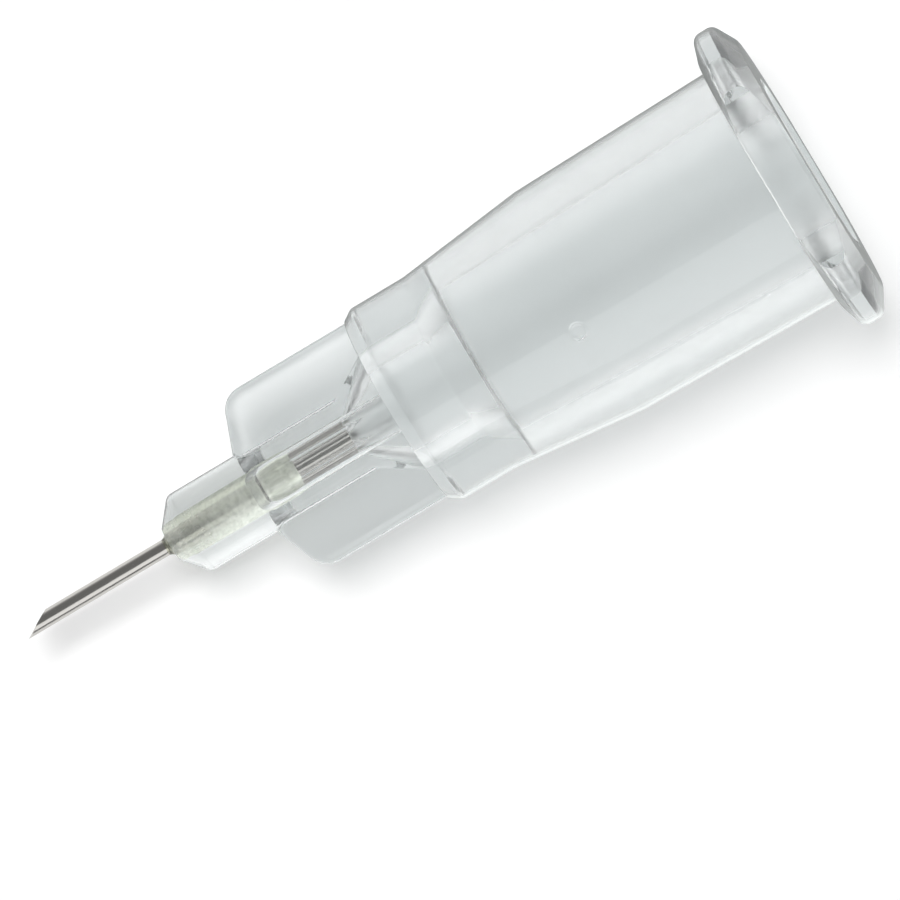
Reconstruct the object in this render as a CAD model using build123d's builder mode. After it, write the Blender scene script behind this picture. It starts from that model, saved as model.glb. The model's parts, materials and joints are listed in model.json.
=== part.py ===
from build123d import *
import os
from math import asin, atan2, cos, degrees, hypot, radians, sin, tan

# A mesotherapy needle lying at rest: a clear moulded hub with a locking flange,
# four fins around its nose, and a short steel cannula bonded into the nose.
# Lengths are in millimetres and angles in degrees. Stations are measured along
# the needle, from the open end face (0) towards the point. In the finished model
# +X runs towards the open end, +Z is up, and the origin lies under the middle of
# the needle, on the surface that it rests on.

# Flange: a disc with a sloping rim, cut by two flats so that two lugs stand out
flange_thickness = 1.05
lug_radius = 3.9
lug_crest_width = 0.52
lug_back_slope_length = 0.33
lug_back_slope_height = 0.6
lug_front_slope_height = 0.6
lug_edge_rounding = 0.25
flat_distance = 3.12
flat_edge_rounding = 0.1

# Barrel, taper and collar
barrel_length = 5.18
barrel_mouth_radius = 3.05
barrel_end_radius = 2.93
taper_length = 3.27
collar_length = 1.4
collar_radius = 2.56
collar_bevel_length = 0.28
collar_front_radius = 2.38

# Core between the fins, and the nose
shoulder_radius = 1.65
shoulder_length = 1.12
core_radius = 1.02
nose_length = 1.82
nose_cone_length = 0.5
nose_end_radius = 0.42
nose_rounding = 0.25

# Fins
fin_length = 3.82
fin_radius = 2.33
fin_thickness = 1.0
fin_front_lean = 0.5
fin_corner_radius = 0.6
fin_edge_rounding = 0.27
fin_root_rounding = 0.12
fin_embedding = 0.15

# Hollow of the hub: conical socket for the syringe, throat, funnel and glue well
socket_mouth_diameter = 4.3
socket_taper = 0.06
socket_depth = 8.9
socket_lead = 0.12
throat_entry_radius = 1.4
throat_entry_length = 0.8
throat_radius = 1.06
throat_length = 1.25
funnel_length = 1.42
well_radius = 0.335
well_depth = 3.5
well_cone_length = 0.3

# Mark left by the moulding gate, a shallow ring round a low pip
gate_station_past_taper = 0.22
gate_turn = 12.0
gate_ring_radius = 0.24
gate_pip_radius = 0.12
gate_depth = 0.05

# Cannula, 27 gauge, with a short three-facet point
cannula_outer_diameter = 0.41
cannula_bore_diameter = 0.21
exposed_length = 4.0
bevel_angle = 30.0
side_grind_angle = 38.0
side_grind_turn = 30.0

# Bond around the cannula
meniscus_height = 0.14
meniscus_hollow = 0.03

# Stations along the needle
barrel_end = flange_thickness + barrel_length
taper_end = barrel_end + taper_length
collar_end = taper_end + collar_length
front_face = collar_end + collar_bevel_length
shoulder_end = front_face + shoulder_length
fin_end = front_face + fin_length
nose_shoulder = fin_end + nose_length
nose_end = nose_shoulder + nose_cone_length
point = nose_end + exposed_length
throat_start = socket_depth + throat_entry_length
throat_end = throat_start + throat_length
funnel_end = throat_end + funnel_length
well_start = nose_end - well_depth
gate_station = barrel_end + gate_station_past_taper

# Radii and slopes that follow from the sizes above
lug_back_radius = lug_radius - lug_back_slope_height
lug_front_radius = lug_radius - lug_front_slope_height
cannula_radius = cannula_outer_diameter / 2
socket_mouth_radius = socket_mouth_diameter / 2
socket_end_radius = socket_mouth_radius - socket_taper / 2 * socket_depth
socket_lead_radius = socket_mouth_radius - socket_taper / 2 * socket_lead
taper_slope = degrees(atan2(barrel_end_radius - collar_radius, taper_length))
gate_surface_radius = barrel_end_radius - gate_station_past_taper * tan(radians(taper_slope))

# Outline of a fin: its outer edge is straight up to the round corner, and its
# front edge leans back from the nose
fin_edge_end = fin_end - fin_front_lean
lean_angle = degrees(atan2(fin_front_lean, fin_radius - core_radius))
fin_corner_start = fin_edge_end - fin_corner_radius / tan(radians(90 + lean_angle) / 2)
fin_apex = fin_end + core_radius * tan(radians(lean_angle))

# At rest the needle lies on the end of its barrel and on the round corner of its
# lowest fin. The ground line passes through the barrel's end and touches that
# corner, which gives the tilt of the axis and the height of the open end.
corner_drop = barrel_end_radius - (fin_radius - fin_corner_radius)
corner_run = fin_corner_start - barrel_end
rest_tilt = atan2(corner_drop, corner_run) - asin(fin_corner_radius / hypot(corner_run, corner_drop))
open_end_height = barrel_end * sin(rest_tilt) + barrel_end_radius * cos(rest_tilt)
open_end_x = (point * cos(rest_tilt) - flat_distance * sin(rest_tilt)) / 2

# Cross plane: on the open end face, with its normal along the needle to the point,
# x towards the side of the point and y up
cross_plane = Plane(
    origin=(open_end_x, 0, open_end_height),
    x_dir=(0, -1, 0),
    z_dir=(-cos(rest_tilt), 0, -sin(rest_tilt)),
)
# Planes through the axis, with x along the needle to the point: one standing, one lying
standing_plane = Plane(cross_plane.origin, x_dir=cross_plane.z_dir, z_dir=-cross_plane.x_dir)
lying_plane = Plane(cross_plane.origin, x_dir=cross_plane.z_dir, z_dir=cross_plane.y_dir)
needle_axis = Axis(cross_plane.origin, cross_plane.z_dir)


def fin_pair(outline_plane):
    """Two opposite fins: one plate through the axis, rounded along its free edges."""
    outline = [
        (front_face - fin_embedding, -fin_radius),
        (fin_edge_end, -fin_radius),
        (fin_apex, 0),
        (fin_edge_end, fin_radius),
        (front_face - fin_embedding, fin_radius),
    ]
    with BuildPart() as plate:
        with BuildSketch(outline_plane) as shape:
            with BuildLine():
                Polyline(*outline, close=True)
            make_face()
            corners = shape.vertices().group_by(Axis.X)[1]
            fillet(corners, fin_corner_radius)
        extrude(amount=fin_thickness / 2, both=True)
        rims = plate.faces().filter_by(outline_plane).edges()
        fillet(rims.sort_by(needle_axis)[2:], fin_edge_rounding)
    return plate.part


# Hub: one clear moulding
with BuildPart() as hub:
    # Flange with its two lugs left and right
    with BuildSketch(cross_plane):
        Circle(lug_radius)
        Rectangle(2 * lug_radius, 2 * flat_distance, mode=Mode.INTERSECT)
    extrude(amount=flange_thickness)
    with BuildSketch(standing_plane) as rim_section:
        with BuildLine():
            Polyline(
                (0, 0),
                (0, lug_back_radius),
                (lug_back_slope_length, lug_radius),
                (lug_back_slope_length + lug_crest_width, lug_radius),
                (flange_thickness, lug_front_radius),
                (flange_thickness, 0),
                close=True,
            )
        make_face()
        rim_corners = rim_section.vertices().filter_by(lambda corner: corner.Y > 0)
        fillet(rim_corners, lug_edge_rounding)
    revolve(axis=needle_axis, mode=Mode.INTERSECT)
    flats = hub.faces().filter_by(lying_plane)
    fillet(flats.edges(), flat_edge_rounding)

    # Barrel, taper, collar, shoulder, core and nose
    with BuildSketch(standing_plane) as body_section:
        with BuildLine():
            Polyline(
                (flange_thickness / 2, 0),
                (flange_thickness / 2, barrel_mouth_radius),
                (barrel_end, barrel_end_radius),
                (taper_end, collar_radius),
                (collar_end, collar_radius),
                (front_face, collar_front_radius),
                (front_face, shoulder_radius),
                (shoulder_end, core_radius),
                (nose_shoulder, core_radius),
                (nose_end, nose_end_radius),
                (nose_end, 0),
                close=True,
            )
        make_face()
        nose_corner = body_section.vertices().sort_by_distance((nose_shoulder, core_radius))[0]
        fillet(nose_corner, nose_rounding)
    revolve(axis=needle_axis)

    # Four fins, as a standing and a lying pair
    for plane in (standing_plane, lying_plane):
        add(fin_pair(plane))
    nose_side = cross_plane.from_local_coords((0, core_radius, fin_end + nose_length / 2))
    core_face = hub.faces().sort_by_distance(nose_side)[0]
    fin_sides = hub.faces().filter_by(standing_plane) + hub.faces().filter_by(lying_plane)
    fillet(core_face.edges() & fin_sides.edges(), fin_root_rounding)

    # Hollow from the open end through to the nose
    with BuildSketch(standing_plane):
        with BuildLine():
            Polyline(
                (0, 0),
                (0, socket_lead_radius + socket_lead),
                (socket_lead, socket_lead_radius),
                (socket_depth, socket_end_radius),
                (socket_depth, throat_entry_radius),
                (throat_start, throat_radius),
                (throat_end, throat_radius),
                (funnel_end, cannula_radius),
                (well_start, cannula_radius),
                (well_start + well_cone_length, well_radius),
                (nose_end, well_radius),
                (nose_end, 0),
                close=True,
            )
        make_face()
    revolve(axis=needle_axis, mode=Mode.SUBTRACT)

    # Gate mark on the taper, a little to one side of the top: its plane is turned
    # round the needle, moved out to the surface and laid flat on it
    gate_spot = cross_plane * Rot(0, 0, -gate_turn) * Pos(0, gate_surface_radius, gate_station)
    gate_plane = Plane(gate_spot * Rot(taper_slope - 90, 0, 0))
    with BuildSketch(gate_plane.offset(-gate_depth)):
        Circle(gate_ring_radius)
        Circle(gate_pip_radius, mode=Mode.SUBTRACT)
    extrude(amount=2 * gate_depth, mode=Mode.SUBTRACT)
hub.part.label = "hub"

# Cannula: a tube from the funnel to the point, with one long and two side grinds
with BuildPart() as cannula:
    with BuildSketch(cross_plane.offset(funnel_end)):
        Circle(cannula_radius)
        Circle(cannula_bore_diameter / 2, mode=Mode.SUBTRACT)
    extrude(amount=point - funnel_end)
    point_spot = cross_plane * Pos(cannula_radius, 0, point)
    long_grind = (0, bevel_angle)
    side_grinds = ((-side_grind_turn, side_grind_angle), (side_grind_turn, side_grind_angle))
    for turn, angle in (long_grind, *side_grinds):
        grind_plane = Plane(point_spot * Rot(0, 0, turn) * Rot(0, angle - 90, 0))
        split(bisect_by=grind_plane, keep=Keep.BOTTOM)
cannula.part.label = "cannula"

# Adhesive: fills the well around the cannula and climbs it in a hollow meniscus
with BuildPart() as adhesive:
    with BuildSketch(standing_plane):
        with BuildLine():
            Line((well_start, cannula_radius), (well_start + well_cone_length, well_radius))
            Line((well_start + well_cone_length, well_radius), (nose_end, well_radius))
            SagittaArc(
                (nose_end, well_radius),
                (nose_end + meniscus_height, cannula_radius),
                -meniscus_hollow,
            )
            Line((nose_end + meniscus_height, cannula_radius), (well_start, cannula_radius))
        make_face()
    revolve(axis=needle_axis)
adhesive.part.label = "adhesive"

os.makedirs("parts", exist_ok=True)
for piece in (hub.part, cannula.part, adhesive.part):
    export_step(piece, f"parts/{piece.label}.step")
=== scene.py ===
import json
from math import asin, atan2, cos, hypot, pi, radians, sin, sqrt, tan

import bmesh
import bpy
from mathutils import Matrix, Vector


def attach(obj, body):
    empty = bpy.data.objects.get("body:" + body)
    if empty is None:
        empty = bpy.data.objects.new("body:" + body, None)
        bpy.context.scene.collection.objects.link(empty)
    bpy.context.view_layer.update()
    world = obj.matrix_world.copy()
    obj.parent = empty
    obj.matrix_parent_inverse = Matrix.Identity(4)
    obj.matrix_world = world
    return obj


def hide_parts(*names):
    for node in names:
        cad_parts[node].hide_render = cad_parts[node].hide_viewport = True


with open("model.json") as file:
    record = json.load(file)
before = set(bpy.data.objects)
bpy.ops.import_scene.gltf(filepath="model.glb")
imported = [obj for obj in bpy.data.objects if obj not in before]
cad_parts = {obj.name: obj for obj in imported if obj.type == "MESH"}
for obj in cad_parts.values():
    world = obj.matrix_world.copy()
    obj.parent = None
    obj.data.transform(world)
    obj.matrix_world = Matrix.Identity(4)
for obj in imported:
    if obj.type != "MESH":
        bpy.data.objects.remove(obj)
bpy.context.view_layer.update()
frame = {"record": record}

# Hub
# One clear injection moulding of natural polypropylene: a locking flange, a barrel
# with a conical socket, and a nose between four fins. It carries the other pieces.

# The pieces are shaped in the needle's own frame, in millimetres: side and up are
# offsets from its axis, and stations run from the open end face to the point.
socket_mouth = next(m for m in frame["record"]["mounts"] if m["name"] == "syringe_socket")
to_point = -Vector(socket_mouth["axis"])
sideways = Vector((0, -1, 0))
metres_per_mm = 0.001
needle_place = Matrix((sideways, to_point.cross(sideways), to_point)).transposed().to_4x4()
needle_place = needle_place @ Matrix.Scale(metres_per_mm, 4)
needle_place = Matrix.Translation(socket_mouth["pos_m"]) @ needle_place


def rounded(corners, radii, arc_step=radians(9)):
    """An open outline of straight runs, with each inner corner rounded to its radius."""
    outline = [Vector(corners[0])]
    for before, corner, after, radius in zip(corners, corners[1:], corners[2:], radii):
        corner = Vector(corner)
        back = (Vector(before) - corner).normalized()
        ahead = (Vector(after) - corner).normalized()
        half_angle = back.angle(ahead) / 2
        if not radius:
            outline.append(corner)
            continue
        centre = corner + (back + ahead).normalized() * (radius / sin(half_angle))
        start = corner + back * (radius / tan(half_angle)) - centre
        end = corner + ahead * (radius / tan(half_angle)) - centre
        outline += arc(centre, start, end, arc_step)
    outline.append(Vector(corners[-1]))
    return outline


def arc(centre, start, end, arc_step):
    """Points round a centre, from one offset of it to another."""
    sweep = atan2(start.x * end.y - start.y * end.x, start.dot(end))
    steps = max(2, round(abs(sweep) / arc_step))
    return [centre + Matrix.Rotation(sweep * k / steps, 2) @ start for k in range(steps + 1)]


def lofted(name, rings, capped=True):
    """A solid skinned over rings of (side, up, station) points.

    Its ends are closed by caps, or else its last ring joins the first.
    """
    count = len(rings[0])
    spots = [spot for ring in rings for spot in ring]
    pairs = list(zip(range(len(rings) - 1), range(1, len(rings))))
    if not capped:
        pairs.append((len(rings) - 1, 0))
    faces = [
        (a * count + k, a * count + (k + 1) % count, b * count + (k + 1) % count, b * count + k)
        for a, b in pairs
        for k in range(count)
    ]
    if capped:
        faces.append(tuple(reversed(range(count))))
        faces.append(tuple(range((len(rings) - 1) * count, len(rings) * count)))
    mesh = bpy.data.meshes.new(name)
    mesh.from_pydata([tuple(spot) for spot in spots], [], faces)
    shell = bmesh.new()
    shell.from_mesh(mesh)
    bmesh.ops.recalc_face_normals(shell, faces=shell.faces)
    shell.to_mesh(mesh)
    shell.free()
    piece = bpy.data.objects.new(name, mesh)
    bpy.context.scene.collection.objects.link(piece)
    return piece


def turned(name, profile, columns, capped=True):
    """A solid of revolution from (station, radius) points.

    Its columns are shifted by part of a step, so that none lies in a fin's middle plane.
    """
    column_shift = 0.3
    turns = [2 * pi * (k + column_shift) / columns for k in range(columns)]
    rings = [[(r * cos(t), r * sin(t), s) for t in turns] for s, r in profile]
    return lofted(name, rings, capped)


def combine(piece, operation, tool):
    """Joins a tool into a piece, cuts the piece with it, or keeps what they share."""
    modifier = piece.modifiers.new("shaping", "BOOLEAN")
    modifier.operation = operation
    modifier.solver = "MANIFOLD"
    modifier.object = tool
    shaped = piece.evaluated_get(bpy.context.evaluated_depsgraph_get())
    mesh = bpy.data.meshes.new_from_object(shaped)
    piece.modifiers.clear()
    piece.data = mesh
    bpy.data.objects.remove(tool)


# The flange is turned with sloping rims. A slope is given by its length along the
# needle and its height.
flange_thickness = 1.05
lug_radius = 3.9
lug_back_slope = (0.33, 0.6)
lug_front_slope = (0.2, 0.6)
lug_edge_rounding = 0.25
flange_cap_radius = 1.0
hub_columns = 320

flange = turned("flange", rounded(
    [
        (0, flange_cap_radius),
        (0, lug_radius - lug_back_slope[1]),
        (lug_back_slope[0], lug_radius),
        (flange_thickness - lug_front_slope[0], lug_radius),
        (flange_thickness, lug_radius - lug_front_slope[1]),
        (flange_thickness, flange_cap_radius),
    ],
    [lug_edge_rounding] * 4,
), hub_columns)

# Two flats leave a lug on each side. They come from a block with rounded edges that
# reaches a hair past the flange's faces. Its outline starts and ends within its lower
# side, and those two points are dropped.
flat_distance = 3.12
flat_edge_rounding = 0.1
block_side = 5
block_seam = 0.5
block_overhang = 0.002
block_start = -block_overhang
block_end = flange_thickness + block_overhang

block_outline = rounded(
    [
        (0, -flat_distance),
        (block_end, -flat_distance),
        (block_end, flat_distance),
        (block_start, flat_distance),
        (block_start, -flat_distance),
        (block_seam, -flat_distance),
    ],
    [flat_edge_rounding] * 4,
)[1:-1]
flat_block = lofted("flat_block", [
    [(side, up, s) for s, up in block_outline] for side in (-block_side, block_side)
])
combine(flange, "INTERSECT", flat_block)

# The body is turned: barrel, taper, collar, shoulder, core and nose
barrel_end = 6.23
taper_end = 9.5
collar_end = 10.9
front_face = 11.18
shoulder_end = 12.3
nose_shoulder = 16.82
nose_end = 17.32

barrel_mouth_radius = 3.05
barrel_end_radius = 2.93
collar_radius = 2.56
collar_front_radius = 2.38
shoulder_radius = 1.65
core_radius = 1.02
nose_end_radius = 0.42
nose_cap_radius = 0.05

taper_rounding = 1.0
collar_rounding = 0.15
front_face_rounding = 0.08
shoulder_rounding = 0.3
nose_rounding = 0.25
mould_edge_rounding = 0.05

hub = turned("hub_moulding", rounded(
    [
        (flange_thickness / 2, barrel_mouth_radius),
        (barrel_end, barrel_end_radius),
        (taper_end, collar_radius),
        (collar_end, collar_radius),
        (front_face, collar_front_radius),
        (front_face, shoulder_radius),
        (shoulder_end, core_radius),
        (nose_shoulder, core_radius),
        (nose_end, nose_end_radius),
        (nose_end, nose_cap_radius),
    ],
    [
        taper_rounding,
        taper_rounding,
        collar_rounding,
        front_face_rounding,
        0,
        shoulder_rounding,
        nose_rounding,
        mould_edge_rounding,
    ],
), hub_columns)
combine(hub, "UNION", flange)

# The four fins are two plates through the axis, rounded along their edges
fin_radius = 2.33
fin_half_thickness = 0.5
fin_end = 15.0
fin_front_lean = 0.5
fin_corner_radius = 0.6
fin_edge_rounding = 0.27
fin_embedding = 0.15
fin_arc_step = radians(6)
fin_flat = fin_half_thickness - fin_edge_rounding
fin_back = front_face - fin_embedding
fin_edge_end = fin_end - fin_front_lean
lean = atan2(fin_front_lean, fin_radius - core_radius)
fin_apex = fin_end + core_radius * tan(lean)


def fin_outline(inset):
    """The plate's outline, from back to nose to back, drawn in by an inset."""
    reach = fin_radius - inset
    edge_end = fin_edge_end - inset * (1 / cos(lean) - tan(lean))
    corners = [
        (fin_back, -reach),
        (edge_end, -reach),
        (fin_apex - inset / cos(lean), 0),
        (edge_end, reach),
        (fin_back, reach),
    ]
    corner_radius = fin_corner_radius - inset
    return rounded(corners, [corner_radius, 0, corner_radius], fin_arc_step)


def fin_layers():
    """Height above the plate's middle and inset of each layer, round its edge."""
    edge_steps = 9
    turns = [radians(90 * k / edge_steps) for k in range(edge_steps + 1)]
    upper = [
        (fin_flat + fin_edge_rounding * sin(t), fin_edge_rounding * (1 - cos(t))) for t in turns
    ]
    return [(-height, inset) for height, inset in reversed(upper)] + upper


for lying in (False, True):
    rings = []
    for height, inset in fin_layers():
        outline = fin_outline(inset)
        rings.append([(r, height, s) if lying else (-height, r, s) for s, r in outline])
    combine(hub, "UNION", lofted("fin_plate", rings))

# Small fillets run along the fins' roots. At the fins' front they follow its rounding
# and shrink, and their edges are sunk a little into the plates and the core.
root_rounding = 0.12
root_shrinkage = 0.8
root_arc_steps = 8
root_in_plate = 0.06
root_sink = 0.01
root_draw_in = 0.012
root_inset = 0.02
root_front_length = 0.24
root_front_steps = 6
root_flat_end = fin_end - fin_edge_rounding / cos(lean) - root_inset


def root_section(station):
    """A ring round the core and the plates' roots, with the eight fillets."""
    run = max(0.0, station - root_flat_end) / fin_edge_rounding
    plate_side = fin_flat + fin_edge_rounding * sqrt(max(0.0, 1 - run * run))
    radius = root_rounding * (1 - root_shrinkage * run * run)
    centre_side = plate_side + radius
    centre_up = sqrt((core_radius + radius) ** 2 - centre_side ** 2)
    sweep = atan2(centre_up, centre_side)
    turns = [pi + sweep * k / root_arc_steps for k in range(root_arc_steps + 1)]
    fillet = [(centre_side + radius * cos(t), centre_up + radius * sin(t)) for t in turns]
    side, up = fillet[-1]
    drawn_in = 1 - root_draw_in
    root = [
        (plate_side - root_in_plate, centre_up + root_sink),
        *fillet,
        (side * drawn_in + root_sink, up * drawn_in - root_sink),
    ]
    # Mirrored about the quarter's diagonal, it is the root of the other plate
    quarter = root + [(b, a) for a, b in reversed(root)]
    ring = []
    for k in range(4):
        quarter_turn = Matrix.Rotation(-k * pi / 2, 2)
        ring += [quarter_turn @ Vector(spot) for spot in quarter]
    return [(spot.x, spot.y, station) for spot in ring]


root_stations = [fin_back + root_inset, root_flat_end]
for k in range(1, root_front_steps + 1):
    root_stations.append(root_flat_end + root_front_length * k / root_front_steps)
combine(hub, "UNION", lofted("fin_roots", [root_section(s) for s in root_stations]))

# The hollow: a 6 percent cone for the syringe, then a throat, a funnel, the hole that
# holds the cannula, and the glue well behind the nose's mouth
socket_lead = 0.12
socket_lead_radius = 2.1464
socket_end = 8.9
socket_end_radius = 1.883
throat_entry_radius = 1.4
throat_start = 9.7
throat_end = 10.95
throat_radius = 1.06
funnel_end = 12.37
cannula_radius = 0.205
well_start = 13.82
well_cone_length = 0.3
well_radius = 0.335
cut_past_ends = 0.3

socket_floor_rounding = 0.12
throat_entry_rounding = 0.1
throat_rounding = 0.2
core_pin_rounding = 0.02

hollow = turned("hollow", rounded(
    [
        (-cut_past_ends, socket_lead_radius + socket_lead + cut_past_ends),
        (socket_lead, socket_lead_radius),
        (socket_end, socket_end_radius),
        (socket_end, throat_entry_radius),
        (throat_start, throat_radius),
        (throat_end, throat_radius),
        (funnel_end, cannula_radius),
        (well_start, cannula_radius),
        (well_start + well_cone_length, well_radius),
        (nose_end + cut_past_ends, well_radius),
    ],
    [
        mould_edge_rounding,
        socket_floor_rounding,
        throat_entry_rounding,
        throat_rounding,
        throat_rounding,
        core_pin_rounding,
        core_pin_rounding,
        core_pin_rounding,
    ],
), hub_columns)
combine(hub, "DIFFERENCE", hollow)

# The gate's mark on the taper: a shallow groove round a low pip, soft at its edges,
# cut by a ring that follows the taper's slope and curve and stands clear above it
gate_past_barrel = 0.22
gate_turn = radians(-12)
gate_pip_radius = 0.12
gate_ring_radius = 0.24
gate_depth = 0.05
gate_steps = 16
gate_columns = 64
ring_top = 0.1
ring_edge_lift = 0.003
gate_station = barrel_end + gate_past_barrel
taper_fall = (barrel_end_radius - collar_radius) / (taper_end - barrel_end)
gate_radius = barrel_end_radius - gate_past_barrel * taper_fall

groove = [(gate_pip_radius, ring_top)]
for k in range(gate_steps + 1):
    radius = gate_pip_radius + (gate_ring_radius - gate_pip_radius) * k / gate_steps
    sunk = gate_depth * (1 - cos(2 * pi * k / gate_steps)) / 2
    groove.append((radius, ring_edge_lift - sunk))
groove.append((gate_ring_radius, ring_top))

gate_rings = []
for radius, height in groove:
    turns = [2 * pi * k / gate_columns for k in range(gate_columns)]
    spots = [(radius * cos(t), radius * sin(t)) for t in turns]
    gate_rings.append([
        (a, gate_radius + height - a * a / (2 * gate_radius) - b * taper_fall, gate_station + b)
        for a, b in spots
    ])
gate = lofted("gate_ring", gate_rings, capped=False)
gate.data.transform(Matrix.Rotation(gate_turn, 4, "Z"))
combine(hub, "DIFFERENCE", gate)


def settle(piece):
    """Puts a piece in its place on the needle, smooth but for its sharp edges."""
    sharpest_smooth = radians(28)
    piece.data.transform(needle_place)
    piece.data.shade_smooth()
    piece.data.set_sharp_from_angle(angle=sharpest_smooth)
    weighting = piece.modifiers.new("even_normals", "WEIGHTED_NORMAL")
    weighting.keep_sharp = True


def linear(code):
    """A linear colour from an sRGB hex code."""
    parts = [int(code[k:k + 2], 16) / 255 for k in (1, 3, 5)]
    return [p / 12.92 if p <= 0.04045 else ((p + 0.055) / 1.055) ** 2.4 for p in parts] + [1.0]


def new_material(name):
    """An empty material and its node tree."""
    material = bpy.data.materials.new(name)
    material.use_nodes = True
    material.node_tree.nodes.clear()
    return material, material.node_tree


def add_node(tree, kind, inputs=None, **settings):
    """Adds a node. Each input gets a value or a link from another node's output."""
    made = tree.nodes.new(kind)
    for name, value in settings.items():
        setattr(made, name, value)
    for socket, value in (inputs or {}).items():
        if isinstance(value, bpy.types.NodeSocket):
            tree.links.new(value, made.inputs[socket])
        else:
            made.inputs[socket].default_value = value
    return made


def cycles_per_metre(grain_mm):
    """The scale of a noise whose grain has this size."""
    return 1000 / grain_mm


def let_lamps_through(tree, surface, tint):
    """Ends a clear material: its shadow is only the tint that it gives the lamps' light."""
    path = add_node(tree, "ShaderNodeLightPath")
    passing = add_node(tree, "ShaderNodeBsdfTransparent", {"Color": linear(tint)})
    shown = add_node(tree, "ShaderNodeMixShader", {
        0: path.outputs["Is Shadow Ray"],
        1: surface,
        2: passing.outputs["BSDF"],
    })
    add_node(tree, "ShaderNodeOutputMaterial", {"Surface": shown.outputs["Shader"]})


# Natural polypropylene, injection moulded: clear and glossy, with flow waves about
# 1.6 mm long and the faint orange peel, about 0.2 mm, of a polished mould.
polypropylene, tree = new_material("natural_polypropylene_moulded")
place = add_node(tree, "ShaderNodeTexCoord")
flow = add_node(tree, "ShaderNodeTexNoise", {
    "Vector": place.outputs["Object"],
    "Scale": cycles_per_metre(1.6),
    "Detail": 2.0,
    "Distortion": 0.4,
})
orange_peel = add_node(tree, "ShaderNodeTexNoise", {
    "Vector": place.outputs["Object"],
    "Scale": cycles_per_metre(0.22),
    "Detail": 3.0,
})
haze = add_node(tree, "ShaderNodeMapRange", {
    "Value": flow.outputs["Fac"],
    "From Min": 0.3,
    "From Max": 0.7,
    "To Min": 0.05,
    "To Max": 0.09,
})
waves = add_node(tree, "ShaderNodeBump", {
    "Height": flow.outputs["Fac"],
    "Strength": 0.12,
    "Distance": 0.00005,
})
peel_bump = add_node(tree, "ShaderNodeBump", {
    "Height": orange_peel.outputs["Fac"],
    "Normal": waves.outputs["Normal"],
    "Strength": 0.02,
    "Distance": 0.000005,
})
clear_skin = add_node(tree, "ShaderNodeBsdfPrincipled", {
    "Base Color": linear("#f2f5f5"),
    "Roughness": haze.outputs["Result"],
    "IOR": 1.49,
    "Transmission Weight": 0.96,
    "Normal": peel_bump.outputs["Normal"],
})
# This plastic is a little milky. At a grazing look the eye crosses the most of it, so the
# hub's outline and its edges are milk, and take the light of the lamps beside them. The
# milk is a grey darker than the plastic's haze: painted shade, which draws a dark outline
# where the edge faces away from the low fill lamp.
edge = add_node(tree, "ShaderNodeLayerWeight", {"Blend": 0.5})
haze_and_painted_outline_share = add_node(tree, "ShaderNodeMapRange", {
    "Value": edge.outputs["Facing"],
    "From Min": 0.68,
    "From Max": 0.86,
    "To Min": 0.0,
    "To Max": 0.95,
})
# Painted shade: this grey is darker than the plastic's own haze, so the outline reads dark
haze_and_painted_outline_shade = add_node(tree, "ShaderNodeBsdfDiffuse", {"Color": linear("#a9acab")})
skin = add_node(tree, "ShaderNodeMixShader", {
    0: haze_and_painted_outline_share.outputs["Result"],
    1: clear_skin.outputs["BSDF"],
    2: haze_and_painted_outline_shade.outputs["BSDF"],
})
let_lamps_through(tree, skin.outputs["Shader"], "#c0c3c3")

# The same plastic against the core pin, which is blasted: the hub's inner wall is matt
# and scatters what is seen through it. The grit's dimples, about 0.03 mm, are too fine
# to show, so they are drawn 0.08 mm wide.
core_side, tree = new_material("polypropylene_core_side")
place = add_node(tree, "ShaderNodeTexCoord")
blasting = add_node(tree, "ShaderNodeTexNoise", {
    "Vector": place.outputs["Object"],
    "Scale": cycles_per_metre(0.08),
    "Detail": 2.0,
})
blast_bump = add_node(tree, "ShaderNodeBump", {
    "Height": blasting.outputs["Fac"],
    "Strength": 0.1,
    "Distance": 0.000004,
})
matt_wall = add_node(tree, "ShaderNodeBsdfPrincipled", {
    "Base Color": linear("#fdfefe"),
    "Roughness": 0.32,
    "IOR": 1.49,
    "Transmission Weight": 0.9,
    "Normal": blast_bump.outputs["Normal"],
})
let_lamps_through(tree, matt_wall.outputs["BSDF"], "#eaecec")

# Where the bond or the tube meets the hub's wall there is no air between, so that wall
# neither bends nor mirrors light.
bonded_wall, tree = new_material("polypropylene_bonded_wall")
joined_wall = add_node(tree, "ShaderNodeBsdfPrincipled", {
    "Base Color": linear("#ffffff"),
    "Roughness": 0.0,
    "IOR": 1.0,
    "Transmission Weight": 1.0,
})
let_lamps_through(tree, joined_wall.outputs["BSDF"], "#ffffff")

# Faces inside these limits are the hollow's. The last limit closes in with the funnel.
socket_limit = 2.2
socket_limit_end = 8.92
throat_limit = 1.45
closing_start = 10.7
closing_slope = 0.6
mouth_margin = 0.01
wall_margin = 0.002


def hollow_limit(station):
    """Radius at a station within which a face belongs to the hollow."""
    if station < socket_limit_end:
        return socket_limit
    return throat_limit - closing_slope * max(0, station - closing_start)


hub.data.materials.clear()
for finish in (polypropylene, bonded_wall, core_side):
    hub.data.materials.append(finish)
bonded_index, core_side_index = 1, 2
for face in hub.data.polygons:
    side, up, station = face.center
    radius = hypot(side, up)
    if funnel_end < station < nose_end and radius < well_radius + wall_margin:
        face.material_index = bonded_index
    elif mouth_margin < station < funnel_end and radius < hollow_limit(station):
        face.material_index = core_side_index
settle(hub)
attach(hub, "root")
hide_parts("hub")

# Cannula
# A drawn and polished stainless tube, 27 gauge, bonded into the nose. Its point is
# ground on a wheel with one long facet and two short ones beside the tip.

bore_radius = 0.105
exposed_length = 4.0
tube_columns = 96
point = nose_end + exposed_length
cannula = turned("cannula_tube", [
    (funnel_end, bore_radius),
    (funnel_end, cannula_radius),
    (point, cannula_radius),
    (point, bore_radius),
], tube_columns, capped=False)


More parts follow.
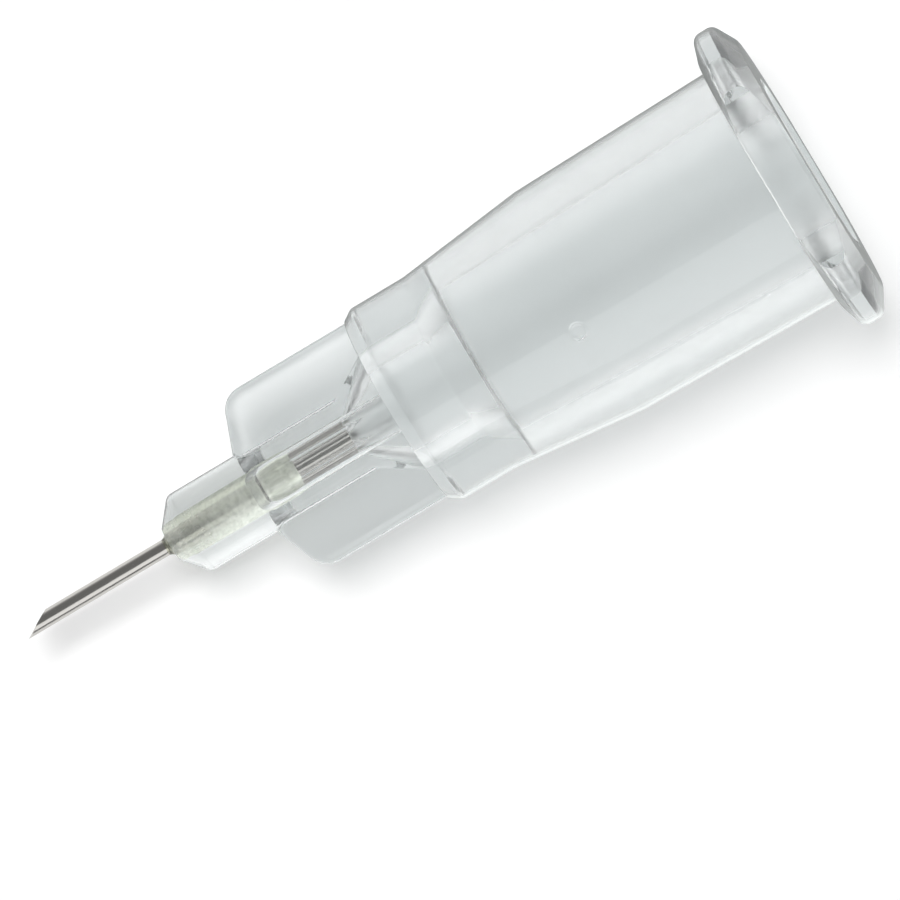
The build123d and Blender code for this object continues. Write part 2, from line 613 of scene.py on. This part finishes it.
def grind(piece, corner, turn, angle):
    """Cuts off what lies past a slanting plane through a corner of the needle."""
    span = 3.0
    square = [(-span, -span), (span, -span), (span, span), (-span, span)]
    wheel = lofted("wheel", [[(a, b, level) for a, b in square] for level in (0, span)])
    slant = Matrix.Rotation(turn, 4, "Z") @ Matrix.Rotation(angle - pi / 2, 4, "Y")
    wheel.data.transform(Matrix.Translation(corner) @ slant)
    combine(piece, "DIFFERENCE", wheel)


bevel_angle = radians(30)
side_grind_angle = radians(38)
side_grind_turn = radians(30)
tip = (cannula_radius, 0, point)
grind(cannula, tip, 0, bevel_angle)
grind(cannula, tip, -side_grind_turn, side_grind_angle)
grind(cannula, tip, side_grind_turn, side_grind_angle)

# Stainless steel, drawn: fine lines run along the tube and draw its highlight out. The
# real ones, about 0.005 mm apart, are too fine to show, so they are drawn 0.03 mm apart.
drawn_steel, tree = new_material("stainless_steel_drawn")
place = add_node(tree, "ShaderNodeTexCoord")
along_tube = add_node(tree, "ShaderNodeMapping", {
    "Vector": place.outputs["Object"],
    "Rotation": (0, asin(to_point.z), 0),
    "Scale": (0.02, 1, 1),
})
draw_lines = add_node(tree, "ShaderNodeTexNoise", {
    "Vector": along_tube.outputs["Vector"],
    "Scale": cycles_per_metre(0.03),
    "Detail": 3.0,
})
gloss = add_node(tree, "ShaderNodeMapRange", {
    "Value": draw_lines.outputs["Fac"],
    "To Min": 0.12,
    "To Max": 0.28,
})
lines_bump = add_node(tree, "ShaderNodeBump", {
    "Height": draw_lines.outputs["Fac"],
    "Strength": 0.15,
    "Distance": 0.000004,
})
steel = add_node(tree, "ShaderNodeBsdfPrincipled", {
    "Base Color": linear("#c6c4c0"),
    "Metallic": 1.0,
    "Roughness": gloss.outputs["Result"],
    "Normal": lines_bump.outputs["Normal"],
})
add_node(tree, "ShaderNodeOutputMaterial", {"Surface": steel.outputs["BSDF"]})

# Stainless steel, ground: the wheel leaves fine scratches across the facets, which
# makes them a little paler and more matt than the tube. The real ones, about 0.003 mm
# apart, are too fine to show, so they are drawn 0.015 mm apart.
ground_steel, tree = new_material("stainless_steel_ground")
place = add_node(tree, "ShaderNodeTexCoord")
across_tube = add_node(tree, "ShaderNodeMapping", {
    "Vector": place.outputs["Object"],
    "Scale": (1, 0.03, 0.2),
})
scratches = add_node(tree, "ShaderNodeTexNoise", {
    "Vector": across_tube.outputs["Vector"],
    "Scale": cycles_per_metre(0.015),
    "Detail": 2.0,
})
scratch_bump = add_node(tree, "ShaderNodeBump", {
    "Height": scratches.outputs["Fac"],
    "Strength": 0.25,
    "Distance": 0.000003,
})
steel = add_node(tree, "ShaderNodeBsdfPrincipled", {
    "Base Color": linear("#d2d0cc"),
    "Metallic": 1.0,
    "Roughness": 0.24,
    "Normal": scratch_bump.outputs["Normal"],
})
add_node(tree, "ShaderNodeOutputMaterial", {"Surface": steel.outputs["BSDF"]})

# The facets are the faces near the point that look towards it
grind_reach = 1
towards_point = 0.2
cannula.data.materials.clear()
cannula.data.materials.append(drawn_steel)
cannula.data.materials.append(ground_steel)
for face in cannula.data.polygons:
    if face.center.z > point - grind_reach and face.normal.z > towards_point:
        face.material_index = 1
settle(cannula)
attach(cannula, "root")
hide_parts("cannula")

# Bond
# A drop of clear resin, cured by light, fills the well round the cannula and
# climbs it in a small hollow meniscus.

meniscus_height = 0.14
meniscus_hollow = 0.03
meniscus_steps = 6


def meniscus():
    """The drop's free surface, from the well's rim up to the tube."""
    low = Vector((nose_end, well_radius))
    high = Vector((nose_end + meniscus_height, cannula_radius))
    chord = (high - low).length
    radius = chord ** 2 / (8 * meniscus_hollow) + meniscus_hollow / 2
    outward = Vector(((low - high).y, (high - low).x)).normalized()
    centre = (low + high) / 2 + outward * (radius - meniscus_hollow)
    start, end = low - centre, high - centre
    sweep = atan2(start.x * end.y - start.y * end.x, start.dot(end))
    turns = [sweep * k / meniscus_steps for k in range(meniscus_steps + 1)]
    return [centre + Matrix.Rotation(turn, 2) @ start for turn in turns]


bond = turned("bond_drop", [
    (well_start, cannula_radius),
    (well_start + well_cone_length, well_radius),
    *meniscus(),
], tube_columns, capped=False)

# Cured resin: clear, faintly yellow green and wet looking, because its free surface
# set as it flowed, with ripples about 0.3 mm long
cured_resin, tree = new_material("cured_resin_free_surface")
place = add_node(tree, "ShaderNodeTexCoord")
ripples = add_node(tree, "ShaderNodeTexNoise", {
    "Vector": place.outputs["Object"],
    "Scale": cycles_per_metre(0.3),
    "Detail": 1.0,
})
ripple_bump = add_node(tree, "ShaderNodeBump", {
    "Height": ripples.outputs["Fac"],
    "Strength": 0.1,
    "Distance": 0.00001,
})
wet_resin = add_node(tree, "ShaderNodeBsdfPrincipled", {
    "Base Color": linear("#f3f4e6"),
    "Roughness": 0.04,
    "IOR": 1.5,
    "Transmission Weight": 1.0,
    "Normal": ripple_bump.outputs["Normal"],
})
let_lamps_through(tree, wet_resin.outputs["BSDF"], "#e6e8d2")

# Inside the well the resin tints what is seen through it. From 0.4 to 2 mm deep it
# grows cloudier, because less of the curing lamp's light arrived there. Its bubbles,
# about 0.03 mm, are too fine to show, so they are drawn as patches of 0.12 mm.
well_resin, tree = new_material("cured_resin_in_the_well")
place = add_node(tree, "ShaderNodeTexCoord")
along_well = add_node(tree, "ShaderNodeSeparateXYZ", {"Vector": place.outputs["Object"]})
well_mouth = (needle_place @ Vector((0, 0, nose_end))).x
depth = add_node(tree, "ShaderNodeMapRange", {
    "Value": along_well.outputs["X"],
    "From Min": well_mouth + 0.0004,
    "From Max": well_mouth + 0.0020,
    "To Min": 0.25,
    "To Max": 0.62,
}, interpolation_type="SMOOTHSTEP")
bubbles = add_node(tree, "ShaderNodeTexNoise", {
    "Vector": place.outputs["Object"],
    "Scale": cycles_per_metre(0.12),
    "Detail": 3.0,
})
patches = add_node(tree, "ShaderNodeMapRange", {
    "Value": bubbles.outputs["Fac"],
    "From Min": 0.3,
    "From Max": 0.7,
    "To Min": 0.7,
    "To Max": 1.2,
})
cloudiness = add_node(tree, "ShaderNodeMath", {
    0: depth.outputs["Result"],
    1: patches.outputs["Result"],
}, operation="MULTIPLY")
clear_resin = add_node(tree, "ShaderNodeBsdfPrincipled", {
    "Base Color": linear("#f3f4e8"),
    "Roughness": 0.0,
    "IOR": 1.0,
    "Transmission Weight": 1.0,
})
cloudy_resin = add_node(tree, "ShaderNodeBsdfDiffuse", {"Color": linear("#eaece3")})
resin = add_node(tree, "ShaderNodeMixShader", {
    0: cloudiness.outputs["Value"],
    1: clear_resin.outputs["BSDF"],
    2: cloudy_resin.outputs["BSDF"],
})
let_lamps_through(tree, resin.outputs["Shader"], "#f3f4e8")

bond.data.materials.append(cured_resin)
bond.data.materials.append(well_resin)
for face in bond.data.polygons:
    if face.center.z < nose_end:
        face.material_index = 1
settle(bond)
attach(bond, "root")
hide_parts("adhesive")

# Stage
# A white floor in a pale room, under soft lamps. The floor is white to the eye, and to
# what the clear plastic bends and mirrors, and it keeps the needle's shadow.

floor_reach = 0.6
floor_mesh = bpy.data.meshes.new("floor")
floor_mesh.from_pydata([
    (-floor_reach, -floor_reach, 0),
    (floor_reach, -floor_reach, 0),
    (floor_reach, floor_reach, 0),
    (-floor_reach, floor_reach, 0),
], [], [(0, 1, 2, 3)])
floor = bpy.data.objects.new("floor", floor_mesh)
bpy.context.scene.collection.objects.link(floor)

# White paper, lifted to white by a little light of its own, which only the eye, and
# gloss and clear plastic that mirror or bend it, can see
white_paper, tree = new_material("white_paper_matt")
path = add_node(tree, "ShaderNodeLightPath")
seen_or_mirrored = add_node(tree, "ShaderNodeMath", {
    0: path.outputs["Is Camera Ray"],
    1: path.outputs["Is Glossy Ray"],
}, operation="MAXIMUM")
seen = add_node(tree, "ShaderNodeMath", {
    0: seen_or_mirrored.outputs["Value"],
    1: path.outputs["Is Transmission Ray"],
}, operation="MAXIMUM")
lift = add_node(tree, "ShaderNodeMath", {0: seen.outputs["Value"], 1: 0.22}, operation="MULTIPLY")
paper = add_node(tree, "ShaderNodeBsdfDiffuse", {"Color": linear("#f2f2f2")})
glow = add_node(tree, "ShaderNodeEmission", {
    "Color": linear("#ffffff"),
    "Strength": lift.outputs["Value"],
})
lifted = add_node(tree, "ShaderNodeAddShader", {
    0: paper.outputs["BSDF"],
    1: glow.outputs["Emission"],
})
add_node(tree, "ShaderNodeOutputMaterial", {"Surface": lifted.outputs["Shader"]})
floor_mesh.materials.append(white_paper)

# The room is evenly pale, but for a lighter wall low down on its +Y side, which the
# hub's flank on that side mirrors
room = bpy.data.worlds.new("room")
bpy.context.scene.world = room
room.use_nodes = True
tree = room.node_tree
tree.nodes.clear()
direction = add_node(tree, "ShaderNodeTexCoord")
split = add_node(tree, "ShaderNodeSeparateXYZ", {"Vector": direction.outputs["Generated"]})
wall_side = add_node(tree, "ShaderNodeMapRange", {
    "Value": split.outputs["Y"],
    "From Min": -0.6,
    "From Max": 0.6,
    "To Min": 0.0,
    "To Max": 0.4,
}, interpolation_type="SMOOTHSTEP")
wall_height = add_node(tree, "ShaderNodeMapRange", {
    "Value": split.outputs["Z"],
    "From Min": 0.1,
    "From Max": 0.5,
    "To Min": 1.0,
    "To Max": 0.0,
}, interpolation_type="SMOOTHSTEP")
wall = add_node(tree, "ShaderNodeMath", {
    0: wall_side.outputs["Result"],
    1: wall_height.outputs["Result"],
}, operation="MULTIPLY")
level = add_node(tree, "ShaderNodeMath", {0: wall.outputs["Value"], 1: 0.22}, operation="ADD")
light = add_node(tree, "ShaderNodeBackground", {
    "Color": linear("#ffffff"),
    "Strength": level.outputs["Value"],
})
add_node(tree, "ShaderNodeOutputWorld", {"Surface": light.outputs["Background"]})


def add_softbox(name, spot, size, radiance):
    """A rectangular lamp that faces the needle."""
    lamp = bpy.data.lights.new(name, "AREA")
    lamp.shape = "RECTANGLE"
    lamp.size, lamp.size_y = size
    lamp.energy = radiance * pi * size[0] * size[1]
    box = bpy.data.objects.new(name, lamp)
    box.location = spot
    box.rotation_euler = (-spot).to_track_quat("-Z", "Y").to_euler()
    bpy.context.scene.collection.objects.link(box)
    return box


# A wide, weak box that only the gloss and the clear plastic show: it is the cannula's
# highlight
strip = add_softbox(
    "strip_light", spot=Vector((0, -0.178, 0.19)), size=(0.3, 0.22), radiance=1.1
)
strip.visible_diffuse = False

# A low, strong strip on the -Y side. It isn't mirrored or seen through the hub: it
# whitens the milky outline that faces it.
fill = add_softbox(
    "fill_light", spot=Vector((0, -0.27, 0.01)), size=(0.3, 0.016), radiance=108.0
)
fill.visible_glossy = False
fill.visible_transmission = False

# The main lamp, overhead and a little to the +Y side, casts the soft shadow. It isn't
# mirrored or seen through the hub either.
overhead = add_softbox(
    "overhead_softbox", spot=Vector((0, 0.072, 0.26)), size=(0.11, 0.11), radiance=13.3
)
overhead.visible_glossy = False
overhead.visible_transmission = False

# Camera
# It looks straight down on the needle through a long lens, turned so that the needle
# lies across the picture from lower left to upper right.

view_station = 10.6
view_shift = -0.00144
view_width = 0.0209
lens_distance = 0.25
image_right = Vector((0.859, -0.512, 0)).normalized()
image_up = Vector((0.512, 0.859, 0)).normalized()
view_middle = needle_place @ Vector((0, 0, view_station))
camera_data = bpy.data.cameras.new("camera")
camera_data.sensor_width = 36
camera_data.lens = camera_data.sensor_width * lens_distance / view_width
camera_data.clip_start = 0.01
camera_data.clip_end = 10
camera = bpy.data.objects.new("camera", camera_data)
camera.matrix_world = Matrix((image_right, image_up, Vector((0, 0, 1)))).transposed().to_4x4()
camera.location = view_middle + Vector((0, view_shift, lens_distance))
bpy.context.scene.collection.objects.link(camera)
bpy.context.scene.camera = camera
bpy.context.scene.view_settings.view_transform = "Standard"
